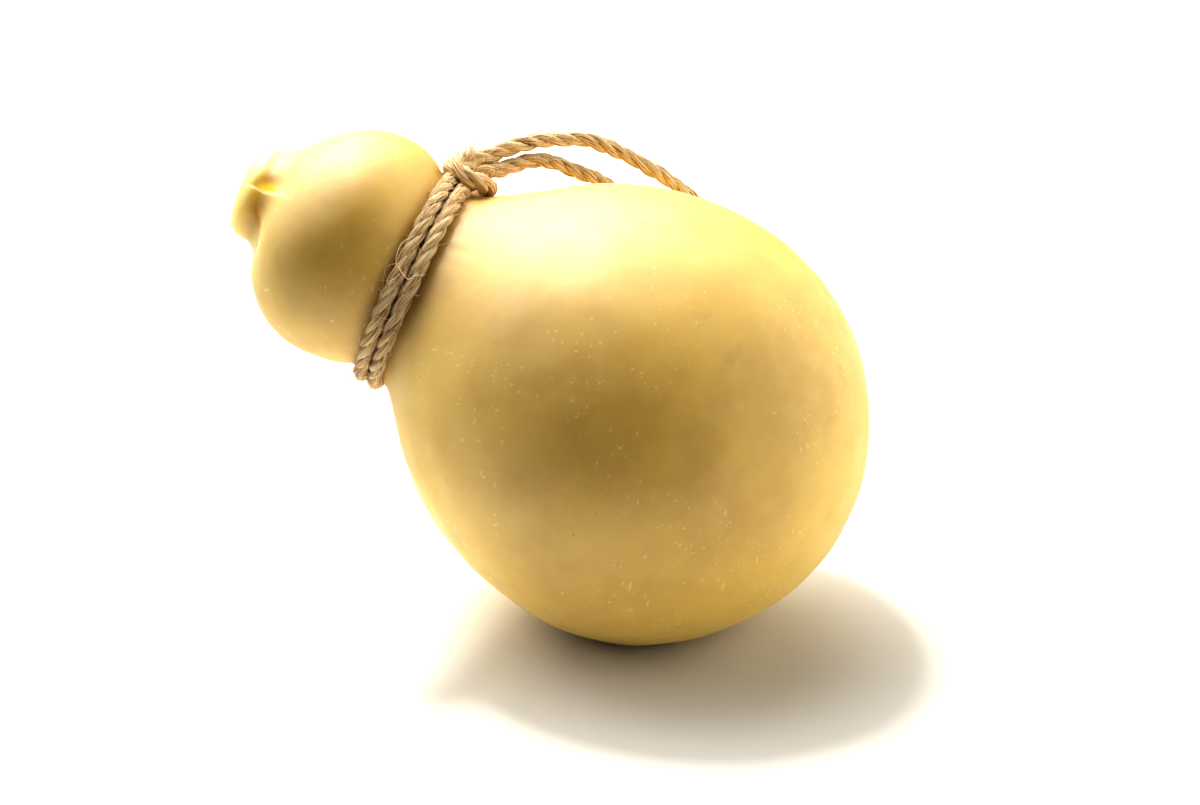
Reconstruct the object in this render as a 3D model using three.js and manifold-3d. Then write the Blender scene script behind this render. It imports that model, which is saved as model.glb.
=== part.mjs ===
// Caciocavallo: a stretched-curd cheese with a round belly, a tied neck, a small head and a pinched nub.
// It lies on its belly with the head raised, and wears a hemp cord: two turns round the neck,
// a girth hitch and the loop that it hangs by.
// Units are millimetres and +Z is up. The origin is the middle of the flat spot that it rests on.
// "along" runs on the cheese's axis from the belly's centre to the nub.
// "angle" goes round that axis from its top towards +Y.
import * as THREE from "three";
import { mergeVertices } from "three/addons/utils/BufferGeometryUtils.js";
import Module from "manifold-3d";

const wasm = await Module();
wasm.setup();

// Cheese sizes
const AXIS_RISE = 28.6;
const BELLY_RADIUS = 75;
const SHOULDER_LENGTH = 87;
const SHOULDER_END = 62;
const NECK_RADIUS = 32;
const NECK_ALONG = 89.7;
const HEAD_RADIUS = 39.5;
const HEAD_ALONG = 112.5;
const HEAD_START = 100;
const HEAD_END = 139;
const HEAD_NECK_LENGTH = 34;
const HEAD_NUB_LENGTH = 33.4;
const NUB_RADIUS = 15.2;
const NUB_START = 149;
const NUB_END = 155.5;
const NUB_FACE_RADIUS = 9.5;
const NUB_FACE_DOME = 0.5;
const REST_DEPTH = 4.5;

// How far the handles of the outline's curves reach along the axis
const SHOULDER_HANDLE = 11;
const NECK_BELLY_HANDLE = 8.5;
const NECK_HEAD_HANDLE = 6;
const HEAD_START_HANDLE = 2.6;
const HEAD_END_HANDLE = 2.2;
const NUB_START_HANDLE = 4.5;
const NUB_RIM_HANDLE = 2.5;

// The neck leans, so that its knot side is nearer to the head
const NECK_LEAN = 6;
const NECK_LEAN_SPREAD = 15;
const KNOT_ANGLE = 25;

// Hollows of the pinched nub: angle and its spread, place along the axis and its spread, depth
const NUB_HOLLOWS = [
  { angle: -48, spread: 15, along: 148, length: 3.4, depth: 4.6 },
  { angle: -92, spread: 26, along: 147, length: 4.2, depth: 3.4 },
  { angle: 22, spread: 24, along: 147.5, length: 3, depth: 1.2 },
  { angle: 88, spread: 24, along: 147.5, length: 3.6, depth: 3.2 },
  { angle: 152, spread: 22, along: 147, length: 3.8, depth: 2.6 },
];

// Cord sizes
const CORD_RADIUS = 2.5;
const CORD_SIDES = 10;
const CLEARANCE = 0.3;
const TURN_RADIUS = NECK_RADIUS + CORD_RADIUS + 3 * CLEARANCE;
const TURN_OFFSET = CORD_RADIUS + CLEARANCE / 2;
const KNOT_HALF_TURN = 32;

// Facets
const AROUND = 64;
const TURN_STEPS = 40;
const STRAND_STEPS = 12;
const BIGHT_STEPS = 26;
const LOOP_STEPS = 64;

const radians = THREE.MathUtils.degToRad;

const bellyCentre = new THREE.Vector3(0, 0, BELLY_RADIUS - REST_DEPTH);
const axisDirection = new THREE.Vector3(-Math.cos(radians(AXIS_RISE)), 0, Math.sin(radians(AXIS_RISE)));
const topDirection = new THREE.Vector3(Math.sin(radians(AXIS_RISE)), 0, Math.cos(radians(AXIS_RISE)));
const backDirection = new THREE.Vector3(0, 1, 0);

const rindMaterial = new THREE.MeshStandardMaterial({ color: 0xd9b45c, roughness: 0.5, metalness: 0 });
const cordMaterial = new THREE.MeshStandardMaterial({ color: 0xb0905f, roughness: 0.95, metalness: 0 });

// A point given by its place along the axis, its angle in radians and its distance from the axis
function pointAbout(along, angle, radius) {
  return bellyCentre.clone()
    .addScaledVector(axisDirection, along)
    .addScaledVector(topDirection, radius * Math.cos(angle))
    .addScaledVector(backDirection, radius * Math.sin(angle));
}

// How far a leaning section is pushed along the axis
function leanShift(lean, angle, radius) {
  return radius * Math.tan(radians(lean)) * Math.cos(angle - radians(KNOT_ANGLE));
}

// A point near the neck: its offset from the middle of the neck, its turn in degrees from the knot
// towards the front, and its distance from the axis
function neckPoint(offset, turn, radius) {
  const angle = radians(KNOT_ANGLE - turn);
  return pointAbout(NECK_ALONG + offset + leanShift(NECK_LEAN, angle, radius), angle, radius);
}

// An ellipse's radius and slope at a place along the axis
function ellipseAt(offset, radius, length) {
  const value = radius * Math.sqrt(1 - (offset / length) ** 2);
  return { radius: value, slope: -(radius ** 2) * offset / (length ** 2 * value) };
}

function bezier(...corners) {
  return new THREE.CubicBezierCurve(...corners.map(([radius, along]) => new THREE.Vector2(radius, along)));
}

// The outline, with the radius as x and the place along the axis as y
function cheeseOutline() {
  const shoulder = ellipseAt(SHOULDER_END, BELLY_RADIUS, SHOULDER_LENGTH);
  const headStart = ellipseAt(HEAD_START - HEAD_ALONG, HEAD_RADIUS, HEAD_NECK_LENGTH);
  const headEnd = ellipseAt(HEAD_END - HEAD_ALONG, HEAD_RADIUS, HEAD_NUB_LENGTH);
  const shoulderAngle = Math.asin(SHOULDER_END / SHOULDER_LENGTH);
  const headStartAngle = Math.asin((HEAD_START - HEAD_ALONG) / HEAD_NECK_LENGTH);
  const headEndAngle = Math.asin((HEAD_END - HEAD_ALONG) / HEAD_NUB_LENGTH);
  const bellyEnd = new THREE.EllipseCurve(0, 0, BELLY_RADIUS, BELLY_RADIUS, -Math.PI / 2, 0);
  const bellyShoulder = new THREE.EllipseCurve(0, 0, BELLY_RADIUS, SHOULDER_LENGTH, 0, shoulderAngle);
  const bellySaddle = bezier(
    [shoulder.radius, SHOULDER_END],
    [shoulder.radius + SHOULDER_HANDLE * shoulder.slope, SHOULDER_END + SHOULDER_HANDLE],
    [NECK_RADIUS, NECK_ALONG - NECK_BELLY_HANDLE],
    [NECK_RADIUS, NECK_ALONG],
  );
  const headSaddle = bezier(
    [NECK_RADIUS, NECK_ALONG],
    [NECK_RADIUS, NECK_ALONG + NECK_HEAD_HANDLE],
    [headStart.radius - HEAD_START_HANDLE * headStart.slope, HEAD_START - HEAD_START_HANDLE],
    [headStart.radius, HEAD_START],
  );
  const headNeckSide = new THREE.EllipseCurve(0, HEAD_ALONG, HEAD_RADIUS, HEAD_NECK_LENGTH, headStartAngle, 0);
  const headNubSide = new THREE.EllipseCurve(0, HEAD_ALONG, HEAD_RADIUS, HEAD_NUB_LENGTH, 0, headEndAngle);
  const nubWaist = bezier(
    [headEnd.radius, HEAD_END],
    [headEnd.radius + HEAD_END_HANDLE * headEnd.slope, HEAD_END + HEAD_END_HANDLE],
    [NUB_RADIUS, NUB_START - NUB_START_HANDLE],
    [NUB_RADIUS, NUB_START],
  );
  const nubRim = bezier(
    [NUB_RADIUS, NUB_START],
    [NUB_RADIUS, NUB_START + NUB_RIM_HANDLE],
    [NUB_RADIUS - NUB_FACE_DOME, NUB_END - 2 * NUB_FACE_DOME],
    [NUB_FACE_RADIUS, NUB_END - NUB_FACE_DOME],
  );
  const nubFace = bezier(
    [NUB_FACE_RADIUS, NUB_END - NUB_FACE_DOME],
    [2 / 3 * NUB_FACE_RADIUS, NUB_END],
    [1 / 3 * NUB_FACE_RADIUS, NUB_END],
    [0, NUB_END],
  );
  return [
    bellyEnd.getPoints(12),
    bellyShoulder.getPoints(7).slice(1),
    bellySaddle.getPoints(8).slice(1),
    headSaddle.getPoints(5).slice(1),
    headNeckSide.getPoints(3).slice(1),
    headNubSide.getPoints(8).slice(1),
    nubWaist.getPoints(6).slice(1),
    nubRim.getPoints(5).slice(1),
    nubFace.getPoints(4).slice(1),
  ].flat();
}

// How deep the nub's hollows are at a place
function hollowDepth(along, angle) {
  let depth = 0;
  for (const hollow of NUB_HOLLOWS) {
    const swing = THREE.MathUtils.euclideanModulo(THREE.MathUtils.radToDeg(angle) - hollow.angle + 180, 360) - 180;
    const reach = (swing / hollow.spread) ** 2 + ((along - hollow.along) / hollow.length) ** 2;
    depth += hollow.depth * Math.exp(-reach);
  }
  return depth;
}

// A place on the turned outline, moved to where the leaning, hollowed cheese has it
function rindPoint(turned) {
  const along = turned.y;
  const angle = Math.atan2(turned.x, turned.z);
  const round = Math.hypot(turned.x, turned.z);
  const radius = round - Math.min(hollowDepth(along, angle), 0.4 * round);
  const lean = NECK_LEAN * Math.exp(-(((along - NECK_ALONG) / NECK_LEAN_SPREAD) ** 2));
  return pointAbout(along + leanShift(lean, angle, radius), angle, radius);
}

function solidOf(geometry) {
  const plain = geometry.clone();
  plain.deleteAttribute("normal");
  plain.deleteAttribute("uv");
  const merged = mergeVertices(plain, 1e-4);
  return new wasm.Manifold(new wasm.Mesh({
    numProp: 3,
    vertProperties: new Float32Array(merged.attributes.position.array),
    triVerts: new Uint32Array(merged.index.array),
  }));
}

function geometryOf(solid) {
  const mesh = solid.getMesh();
  const geometry = new THREE.BufferGeometry();
  geometry.setAttribute("position", new THREE.BufferAttribute(mesh.vertProperties, 3));
  geometry.setIndex(new THREE.BufferAttribute(mesh.triVerts, 1));
  geometry.computeVertexNormals();
  return geometry;
}

function named(name, geometry, material) {
  const mesh = new THREE.Mesh(geometry, material);
  mesh.name = name;
  return mesh;
}

// The whole cheese, pressed flat where it rests
function cheese() {
  const turned = new THREE.LatheGeometry(cheeseOutline(), AROUND);
  const places = turned.attributes.position;
  const place = new THREE.Vector3();
  for (let i = 0; i < places.count; i += 1) {
    const moved = rindPoint(place.fromBufferAttribute(places, i));
    places.setXYZ(i, moved.x, moved.y, moved.z);
  }
  const floor = new THREE.BoxGeometry(4 * BELLY_RADIUS, 4 * BELLY_RADIUS, BELLY_RADIUS);
  floor.translate(0, 0, -BELLY_RADIUS / 2);
  return named("cheese", geometryOf(solidOf(turned).subtract(solidOf(floor))), rindMaterial);
}

// A length of cord through the given points
function cordGeometry(points, steps) {
  const corners = [];
  for (let side = 0; side < CORD_SIDES; side += 1) {
    const angle = 2 * Math.PI * side / CORD_SIDES;
    corners.push(new THREE.Vector2(CORD_RADIUS * Math.cos(angle), CORD_RADIUS * Math.sin(angle)));
  }
  return new THREE.ExtrudeGeometry(new THREE.Shape(corners), {
    steps,
    extrudePath: new THREE.CatmullRomCurve3(points, false, "centripetal"),
  });
}

// One turn round the neck, from the front of the knot to its back
function neckTurn(name, offset) {
  const end = KNOT_HALF_TURN + THREE.MathUtils.radToDeg(CLEARANCE / TURN_RADIUS);
  const points = [];
  for (let step = 0; step <= TURN_STEPS; step += 1) {
    const turn = end + (360 - 2 * end) * step / TURN_STEPS;
    points.push(neckPoint(offset, turn, TURN_RADIUS));
  }
  return named(name, cordGeometry(points, TURN_STEPS), cordMaterial);
}

// Routes inside the knot, as neck points: offset, turn and radius
const HEAD_STRAND = [
  [TURN_OFFSET, KNOT_HALF_TURN, TURN_RADIUS],
  [TURN_OFFSET, KNOT_HALF_TURN - 2, TURN_RADIUS],
  [TURN_OFFSET, 24, TURN_RADIUS],
  [2.5, 15, 35.6],
  [2.2, 8, 37.2],
  [1, 3, 41.5],
  [-0.4, -0.3, 46.4],
  [-2.4, -2, 48.7],
];
const BELLY_STRAND = [
  [-TURN_OFFSET, KNOT_HALF_TURN, TURN_RADIUS],
  [-TURN_OFFSET, KNOT_HALF_TURN - 2, TURN_RADIUS],
  [-TURN_OFFSET, 24, TURN_RADIUS],
  [-3.4, 15, 35.6],
  [-3.8, 8, 37.2],
  [-4.3, 3, 40.8],
  [-5.2, -0.3, 44.6],
  [-7.3, -2.1, 46.6],
];
const BIGHT = [
  [TURN_OFFSET, -KNOT_HALF_TURN, TURN_RADIUS],
  [TURN_OFFSET, 2 - KNOT_HALF_TURN, TURN_RADIUS],
  [3, -24, 35.8],
  [4.2, -14, 37],
  [4.8, -4, 38.4],
  [4.4, 6, 39.4],
  [1.8, 13.5, 40],
  [-2.4, 16.5, 40],
  [-6.4, 13.5, 40],
  [-9, 6, 39.6],
  [-9.2, -4, 38.8],
  [-6.6, -14, 37.6],
  [-3.6, -24, 35.9],
  [-TURN_OFFSET, 2 - KNOT_HALF_TURN, TURN_RADIUS],
  [-TURN_OFFSET, -KNOT_HALF_TURN, TURN_RADIUS],
];

// The girth hitch: a bight laid over the two strands that rise through it
function hitchKnot() {
  const routes = [[BIGHT, BIGHT_STEPS], [HEAD_STRAND, STRAND_STEPS], [BELLY_STRAND, STRAND_STEPS]];
  const solids = routes.map(([route, steps]) => {
    const points = route.map((place) => neckPoint(...place));
    return solidOf(cordGeometry(points, steps));
  });
  return named("hitch_knot", geometryOf(wasm.Manifold.union(solids)), cordMaterial);
}

// The hanging loop's way, from the belly's centre: up from the knot, over the shoulder,
// down the back of the belly, round its bight and up again
const LOOP_ROUTE = [
  [-57.5, 24, 82.5],
  [-54, 28, 83],
  [-50, 32, 83],
  [-43.5, 37.5, 83],
  [-36.5, 42.5, 82.5],
  [-29, 47.5, 81],
  [-23, 50.5, 78],
  [-17.5, 53.5, 74.5],
  [-12, 55.5, 71],
  [-6.5, 58, 67],
  [-1, 60, 62.5],
  [3, 62, 58.5],
  [7.5, 64.5, 53.5],
  [11.5, 67.5, 47.5],
  [13, 71, 38],
  [12, 74, 28],
  [8, 76.5, 19.5],
  [1.5, 77.5, 14.5],
  [-6, 77.5, 14],
  [-12.5, 76, 18],
  [-16.5, 73, 25],
  [-18.5, 70.5, 33],
  [-19, 66, 41.5],
  [-19.5, 60.5, 50],
  [-21, 54.5, 58.5],
  [-25.5, 49, 66],
  [-30.5, 45, 69.5],
  [-35.5, 41.5, 72.5],
  [-40.5, 37.5, 75.5],
  [-45.5, 33.5, 77],
  [-49.5, 29.5, 77.5],
  [-54, 24, 77.5],
];

// Where the loop goes on from a strand: just clear of its end face, and a little further on
function leadOut(strand) {
  const [before, last] = strand.slice(-2).map((place) => neckPoint(...place));
  const direction = last.clone().sub(before).normalize();
  return [CLEARANCE, CORD_RADIUS].map((reach) => last.clone().addScaledVector(direction, reach));
}

function hangingLoop() {
  const route = LOOP_ROUTE.map((place) => new THREE.Vector3(...place).add(bellyCentre));
  const points = [...leadOut(HEAD_STRAND), ...route, ...leadOut(BELLY_STRAND).reverse()];
  return named("hanging_loop", cordGeometry(points, LOOP_STEPS), cordMaterial);
}

const part = new THREE.Group();
part.name = "caciocavallo";
part.add(
  cheese(),
  neckTurn("neck_turn_head_side", TURN_OFFSET),
  neckTurn("neck_turn_belly_side", -TURN_OFFSET),
  hitchKnot(),
  hangingLoop(),
);

export default part;
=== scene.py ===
# Looks of a caciocavallo: a waxy yellow cheese with a laid hemp cord, on a white studio floor.
# Lengths are millimetres until a mesh is made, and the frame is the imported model's.
# "along" runs on the cheese's axis from the belly's centre to the nub.
# "angle" goes round that axis from its top towards +Y.
import math
from typing import NamedTuple

import bpy
import numpy as np
from mathutils import Matrix, Vector


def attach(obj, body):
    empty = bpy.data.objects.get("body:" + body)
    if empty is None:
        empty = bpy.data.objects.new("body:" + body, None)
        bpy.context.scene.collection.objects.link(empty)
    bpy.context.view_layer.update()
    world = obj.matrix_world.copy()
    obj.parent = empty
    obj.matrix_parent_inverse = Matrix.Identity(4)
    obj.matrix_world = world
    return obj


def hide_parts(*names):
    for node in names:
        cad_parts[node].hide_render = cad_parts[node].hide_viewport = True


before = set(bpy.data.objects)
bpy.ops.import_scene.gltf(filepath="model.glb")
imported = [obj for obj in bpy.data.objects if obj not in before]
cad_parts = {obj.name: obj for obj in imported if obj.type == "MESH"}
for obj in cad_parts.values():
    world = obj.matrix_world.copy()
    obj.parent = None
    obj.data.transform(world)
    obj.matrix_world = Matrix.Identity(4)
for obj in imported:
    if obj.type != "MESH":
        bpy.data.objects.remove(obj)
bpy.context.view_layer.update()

MM = 0.001

# Cheese sizes
AXIS_RISE = 28.6
BELLY_RADIUS = 75
SHOULDER_LENGTH = 87
SHOULDER_END = 62
NECK_RADIUS = 33.2
NECK_ALONG = 89.7
HEAD_RADIUS = 39.5
HEAD_ALONG = 112.5
HEAD_START = 100
HEAD_END = 139
HEAD_NECK_LENGTH = 34
HEAD_NUB_LENGTH = 33.4
NUB_RADIUS = 15.6
NUB_START = 149
NUB_END = 155.5
NUB_FACE_RADIUS = 8.5
NUB_FACE_DOME = 0.5
REST_DEPTH = 4.5
REST_SOFTNESS = 0.5

# How far the handles of the outline's curves reach along the axis
SHOULDER_HANDLE = 11
NECK_BELLY_HANDLE = 8.5
NECK_HEAD_HANDLE = 6
HEAD_START_HANDLE = 2.6
HEAD_END_HANDLE = 2.2
NUB_START_HANDLE = 4.5
NUB_RIM_HANDLE = 3
NUB_FACE_HANDLE = 3.5

# The neck leans, so that its knot side is nearer to the head
NECK_LEAN = 6
NECK_LEAN_SPREAD = 15
KNOT_ANGLE = 25

# Cord sizes
TURN_RADIUS = 35.4
TURN_OFFSET = 2.65
KNOT_HALF_TURN = 32
LEAD_OUT = 2.5

RISE = math.radians(AXIS_RISE)
BELLY_CENTRE = np.array([0, 0, BELLY_RADIUS - REST_DEPTH])
AXIS = np.array([-math.cos(RISE), 0, math.sin(RISE)])
TOP = np.array([math.sin(RISE), 0, math.cos(RISE)])
BACK = np.array([0, 1, 0])


def unit(vectors):
    return vectors / np.linalg.norm(vectors, axis=-1, keepdims=True)


def smoothstep(low, high, value):
    t = np.clip((value - low) / (high - low), 0, 1)
    return t * t * (3 - 2 * t)


# A point given by its place along the axis, its angle in radians and its distance from the axis
def point_about(along, angle, radius):
    along, angle, radius = np.broadcast_arrays(along, angle, radius)
    return (
        BELLY_CENTRE
        + along[..., None] * AXIS
        + (radius * np.cos(angle))[..., None] * TOP
        + (radius * np.sin(angle))[..., None] * BACK
    )


# How far a leaning section is pushed along the axis
def lean_shift(lean, angle, radius):
    return radius * np.tan(np.radians(lean)) * np.cos(angle - math.radians(KNOT_ANGLE))


# A point near the neck: offset from the neck's middle, turn in degrees from the knot, distance from the axis
def neck_point(offset, turn, radius):
    angle = math.radians(KNOT_ANGLE - turn)
    return point_about(NECK_ALONG + offset + lean_shift(NECK_LEAN, angle, radius), angle, radius)


# Shortest and longest wave, as shares of the wavelength asked for
WAVE_SPREAD = (0.7, 1.5)


# Smooth lumps in space: waves in seeded directions, from -1 to 1 or so
def waves(points, wavelength, count, seed):
    rng = np.random.default_rng(seed)
    total = np.zeros(points.shape[:-1])
    for _ in range(count):
        direction = unit(rng.normal(size=3))
        reach = wavelength * rng.uniform(*WAVE_SPREAD)
        total += np.cos(points @ direction * (2 * math.pi / reach) + rng.uniform(0, 2 * math.pi))
    return total / math.sqrt(count)


# A mesh object of one smooth piece, in metres
def mesh_object(name, points, faces, material):
    mesh = bpy.data.meshes.new(name)
    mesh.from_pydata((points * MM).tolist(), [], faces)
    mesh.polygons.foreach_set("use_smooth", np.ones(len(mesh.polygons), bool))
    mesh.materials.append(material)
    mesh.validate()
    piece = bpy.data.objects.new(name, mesh)
    bpy.context.scene.collection.objects.link(piece)
    return piece


# Quads between neighbouring rings, from the points' numbers in each ring
def ring_quads(index):
    beside = np.roll(index, -1, axis=1)
    return np.stack([index[:-1], beside[:-1], beside[1:], index[1:]], axis=-1).reshape(-1, 4).tolist()


# A tube's faces: its quads, and one face at either end
def tube_faces(start, count, sides):
    index = start + np.arange(count * sides).reshape(count, sides)
    return ring_quads(index) + [index[0][::-1].tolist(), index[-1].tolist()]


# Values for each point of a piece, which its material reads by name
def set_attribute(piece, name, kind, values):
    attribute = piece.data.attributes.new(name, kind, "POINT")
    field = "vector" if kind == "FLOAT_VECTOR" else "value"
    attribute.data.foreach_set(field, np.asarray(values, np.float32).ravel())


# A noise pattern: its scale, detail and roughness, and the values between which it fades in
class Pattern(NamedTuple):
    scale: float
    detail: float
    roughness: float = 0.5
    low: float = 0
    high: float = 1


# A node tree, filled one node at a time
class Nodes:
    def __init__(self, tree):
        self.tree = tree
        tree.nodes.clear()

    def add(self, kind, inputs=None, **settings):
        node = self.tree.nodes.new(kind)
        for name, value in settings.items():
            setattr(node, name, value)
        for socket, value in (inputs or {}).items():
            if isinstance(value, bpy.types.NodeSocket):
                self.tree.links.new(value, node.inputs[socket])
            else:
                node.inputs[socket].default_value = value
        return node

    def math(self, operation, first, second=0.0):
        return self.add("ShaderNodeMath", {0: first, 1: second}, operation=operation).outputs[0]

    def noise(self, vector, pattern, output="Fac"):
        inputs = {
            "Vector": vector,
            "Scale": pattern.scale,
            "Detail": pattern.detail,
            "Roughness": pattern.roughness,
        }
        return self.add("ShaderNodeTexNoise", inputs).outputs[output]

    def ramp(self, value, low, high, first=0.0, last=1.0):
        inputs = {"Value": value, 1: low, 2: high, 3: first, 4: last}
        return self.add("ShaderNodeMapRange", inputs, interpolation_type="SMOOTHSTEP").outputs[0]

    def pattern(self, vector, pattern, first=0.0, last=1.0):
        return self.ramp(self.noise(vector, pattern), pattern.low, pattern.high, first, last)

    def mix(self, factor, first, second):
        inputs = {0: factor, 6: first, 7: second}
        return self.add("ShaderNodeMix", inputs, data_type="RGBA").outputs[2]

    def attribute(self, name):
        return self.add("ShaderNodeAttribute", attribute_name=name)

    def bump(self, height, strength, distance, normal=None):
        inputs = {"Height": height, "Strength": strength, "Distance": distance}
        if normal is not None:
            inputs["Normal"] = normal
        return self.add("ShaderNodeBump", inputs).outputs[0]


def new_material(name):
    material = bpy.data.materials.new(name)
    material.use_nodes = True
    return material, Nodes(material.node_tree)


# Rind colours, linear
RIND = (0.79, 0.55, 0.085, 1)
RIND_DEEP = (0.69, 0.455, 0.062, 1)
RIND_PALE = (0.82, 0.61, 0.14, 1)
# Painted shade: the darker brown beside the neck's cord, where the cord shades the rind
RIND_PAINTED_SHADE = (0.52, 0.29, 0.04, 1)
# Painted glow: the paler, brighter yellow of light shining through the nub's hollows, also used for its paler
# tip
RIND_PAINTED_GLOW = (0.97, 0.85, 0.32, 1)
FLECK = (0.97, 0.83, 0.46, 1)
SPECK = (0.30, 0.16, 0.04, 1)

# Patterns of the rind's colour, gloss and relief
CLOUDS = Pattern(scale=26, detail=3, roughness=0.55, low=0.3, high=0.7)
MOTTLE = Pattern(scale=120, detail=4, roughness=0.6, low=0.35, high=0.75)
CLUSTERS = Pattern(scale=36, detail=2, low=0.47, high=0.62)
SMUDGES = Pattern(scale=75, detail=2, low=0.66, high=0.76)
MATTNESS = Pattern(scale=160, detail=3, low=0.3, high=0.7)
DENTS = Pattern(scale=75, detail=2)
GRAIN = Pattern(scale=700, detail=3, roughness=0.6)
WOBBLE = Pattern(scale=1600, detail=1)
WOBBLE_REACH = (0.0008, 0.0008, 0.0008)

# How much of each colour goes on, where it is full
MOTTLE_SHARE = 0.35
PAINTED_SHADE_SHARE = 0.7
FLECK_SHARE = 0.38
SPECK_SHARE = 0.4
SMUDGE_SHARE = 0.3

# Strength and depth in metres of the relief
DENT_RELIEF = (0.12, 0.004)
GRAIN_RELIEF = (0.1, 0.0004)
FLECK_RELIEF = (0.35, 0.0003)

# Roughness where the rind is smoothest and where it is most matt
RIND_ROUGHNESS = (0.54, 0.66)

# How deep light goes in metres, in the belly and in the nub's hollows
RIND_CLEARNESS = (0.009, 0.03)


# A kind of spots: the scale of their cells, the largest one's share of its cell, and how many cells have one
class Spots(NamedTuple):
    scale: float
    size: float
    chance: float


DOTS = Spots(scale=550, size=0.17, chance=0.2)
STROKES = Spots(scale=420, size=0.2, chance=0.9)
LONE_DOTS = Spots(scale=200, size=0.06, chance=0.3)
SPECKS = Spots(scale=110, size=0.05, chance=0.3)
STROKE_LENGTH = 6.0
STROKE_TURNS = [(0.3, 0.2, 0.0), (1.1, 0.5, 0.4), (0.9, -0.9, 1.3)]


# Small irregular spots: how much of one there is at each place. A share below 1 makes them rarer
def spots(nodes, vector, kind, share=1.0):
    cells = nodes.add("ShaderNodeTexVoronoi", {"Vector": vector, "Scale": kind.scale})
    picks = nodes.add("ShaderNodeSeparateColor", {0: cells.outputs["Color"]})
    reach = nodes.math("MULTIPLY", picks.outputs[1], kind.size)
    inside = nodes.math("LESS_THAN", cells.outputs["Distance"], reach)
    chosen = nodes.math("LESS_THAN", picks.outputs[0], nodes.math("MULTIPLY", share, kind.chance))
    return nodes.math("MULTIPLY", inside, chosen)


# Short strokes: spots drawn out in one direction
def strokes(nodes, vector, turn, share):
    inputs = {"Vector": vector, "Rotation": turn, "Scale": (1.0, 1.0, STROKE_LENGTH)}
    drawn = nodes.add("ShaderNodeMapping", inputs, vector_type="TEXTURE").outputs[0]
    return spots(nodes, drawn, STROKES, share)


# Places shaken a little, which makes the edges of spots ragged
def shaken_place(nodes, place):
    inputs = {0: nodes.noise(place, WOBBLE, "Color"), 1: WOBBLE_REACH}
    shake = nodes.add("ShaderNodeVectorMath", inputs, operation="MULTIPLY").outputs[0]
    return nodes.add("ShaderNodeVectorMath", {0: place, 1: shake}, operation="ADD").outputs[0]


# The ground colour: clouds and mottling, painted shade beside the neck's cord, and the nub's painted glow in
# its hollows and paler tip
def rind_ground(nodes, place, painted_glow_and_clearness):
    colour = nodes.mix(nodes.pattern(place, CLOUDS), RIND_DEEP, RIND)
    colour = nodes.mix(nodes.pattern(place, MOTTLE, 0.0, MOTTLE_SHARE), colour, RIND_PALE)
    painted_shade = nodes.attribute("painted_shade").outputs["Fac"]
    # Painted shade beside the neck's cord
    colour = nodes.mix(nodes.math("MULTIPLY", painted_shade, PAINTED_SHADE_SHARE), colour, RIND_PAINTED_SHADE)
    # Painted glow in the nub's hollows, and a paler tip
    return nodes.mix(painted_glow_and_clearness, colour, RIND_PAINTED_GLOW)


# Pale flecks: clusters of dots and strokes, and a few lone dots
def rind_flecks(nodes, place, shaken):
    cluster = nodes.pattern(place, CLUSTERS)
    pale = spots(nodes, shaken, DOTS, cluster)
    for turn in STROKE_TURNS:
        pale = nodes.math("MAXIMUM", pale, strokes(nodes, shaken, turn, cluster))
    return nodes.math("MAXIMUM", pale, spots(nodes, shaken, LONE_DOTS))


# Dark specks and faint smudges
def rind_specks(nodes, place, shaken):
    smudge = nodes.pattern(place, SMUDGES, 0.0, SMUDGE_SHARE)
    return nodes.math("MAXIMUM", spots(nodes, shaken, SPECKS), smudge)


# Shallow dents, fine grain and raised flecks
def rind_relief(nodes, place, pale):
    normal = nodes.bump(nodes.noise(place, DENTS), *DENT_RELIEF)
    normal = nodes.bump(nodes.noise(place, GRAIN), *GRAIN_RELIEF, normal)
    return nodes.bump(pale, *FLECK_RELIEF, normal)


def rind_material():
    material, nodes = new_material("rind")
    place = nodes.add("ShaderNodeTexCoord").outputs["Object"]
    shaken = shaken_place(nodes, place)
    # Painted glow of the nub's hollows and tip, which also sets how deep light goes into the rind
    painted_glow_and_clearness = nodes.attribute("painted_glow_and_clearness").outputs["Fac"]
    pale = rind_flecks(nodes, place, shaken)
    speck = rind_specks(nodes, place, shaken)
    colour = rind_ground(nodes, place, painted_glow_and_clearness)
    colour = nodes.mix(nodes.math("MULTIPLY", pale, FLECK_SHARE), colour, FLECK)
    colour = nodes.mix(nodes.math("MULTIPLY", speck, SPECK_SHARE), colour, SPECK)
    shader = nodes.add("ShaderNodeBsdfPrincipled", {
        "Base Color": colour,
        "Roughness": nodes.pattern(place, MATTNESS, *RIND_ROUGHNESS),
        "Normal": rind_relief(nodes, place, pale),
        "IOR": 1.5,
        "Specular IOR Level": 0.5,
        "Coat Weight": 1.0,
        "Coat Roughness": 0.6,
        "Coat IOR": 2.1,
        "Subsurface Weight": 1.0,
        "Subsurface Radius": (1.0, 0.75, 0.3),
        "Subsurface Scale": nodes.ramp(painted_glow_and_clearness, 0.0, 1.0, *RIND_CLEARNESS),
    })
    nodes.add("ShaderNodeOutputMaterial", {"Surface": shader.outputs[0]})
    return material


# Cord colours, linear
HEMP = (0.77, 0.54, 0.26, 1)
HEMP_PALE = (0.94, 0.77, 0.49, 1)
HEMP_FIBRE = (1.0, 0.88, 0.62, 1)
HEMP_DARK = (0.38, 0.20, 0.065, 1)
# Painted shade in the gaps between the strands
HEMP_PAINTED_SHADE = (0.12, 0.05, 0.014, 1)

# Patterns of the cord: fibres that follow the lay, stains, and the tone of stray fibres
LAY_FIBRES = Pattern(scale=2.3, detail=3, roughness=0.65)
STAINS = Pattern(scale=140, detail=2, low=0.5, high=0.75)
STRAY_TONES = Pattern(scale=400, detail=1)
STAIN_SHARE = 0.3

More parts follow.
